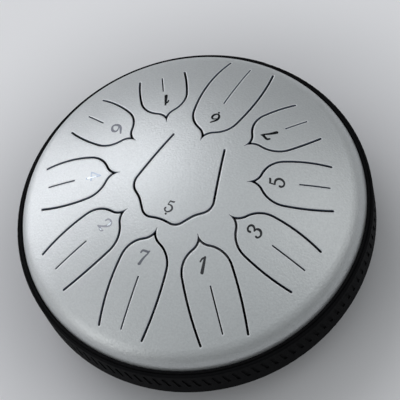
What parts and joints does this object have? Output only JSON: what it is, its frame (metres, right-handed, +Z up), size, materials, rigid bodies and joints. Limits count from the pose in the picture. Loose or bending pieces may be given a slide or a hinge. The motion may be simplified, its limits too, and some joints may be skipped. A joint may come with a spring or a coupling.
{
  "type": "steel tongue drum",
  "caption": "Round steel tongue drum: a domed top shell cut into tuned tongues over a closed pan with a sound hole, a rubber rim band and rubber feet.",
  "frame": {"origin": "on the ground below the crown, at the centre of the foot circle", "axes": "+Z up through the crown, -Y towards the player, where the second lowest tongue points"},
  "size_m": [0.2548, 0.2548, 0.0982],
  "materials": {
    "shell_paint": "satin, fine textured spray paint",
    "pan_paint": "satin black spray paint",
    "band_rubber": "moulded matt rubber",
    "foot_rubber": "matt rubber",
    "fastener_steel": "zinc plated"
  },
  "bodies": {
    "root": {"top_shell": "shell_paint", "bottom_shell": "pan_paint", "rim_band": "band_rubber", "sound_hole_grommet": "band_rubber", "foot_1": "foot_rubber", "foot_2": "foot_rubber", "foot_3": "foot_rubber", "foot_4": "foot_rubber", "foot_washer_1": "fastener_steel", "foot_washer_2": "fastener_steel", "foot_washer_3": "fastener_steel", "foot_washer_4": "fastener_steel", "foot_screw_1": "fastener_steel", "foot_screw_2": "fastener_steel", "foot_screw_3": "fastener_steel", "foot_screw_4": "fastener_steel", "foot_nut_1": "fastener_steel", "foot_nut_2": "fastener_steel", "foot_nut_3": "fastener_steel", "foot_nut_4": "fastener_steel"}
  },
  "joints": []
}
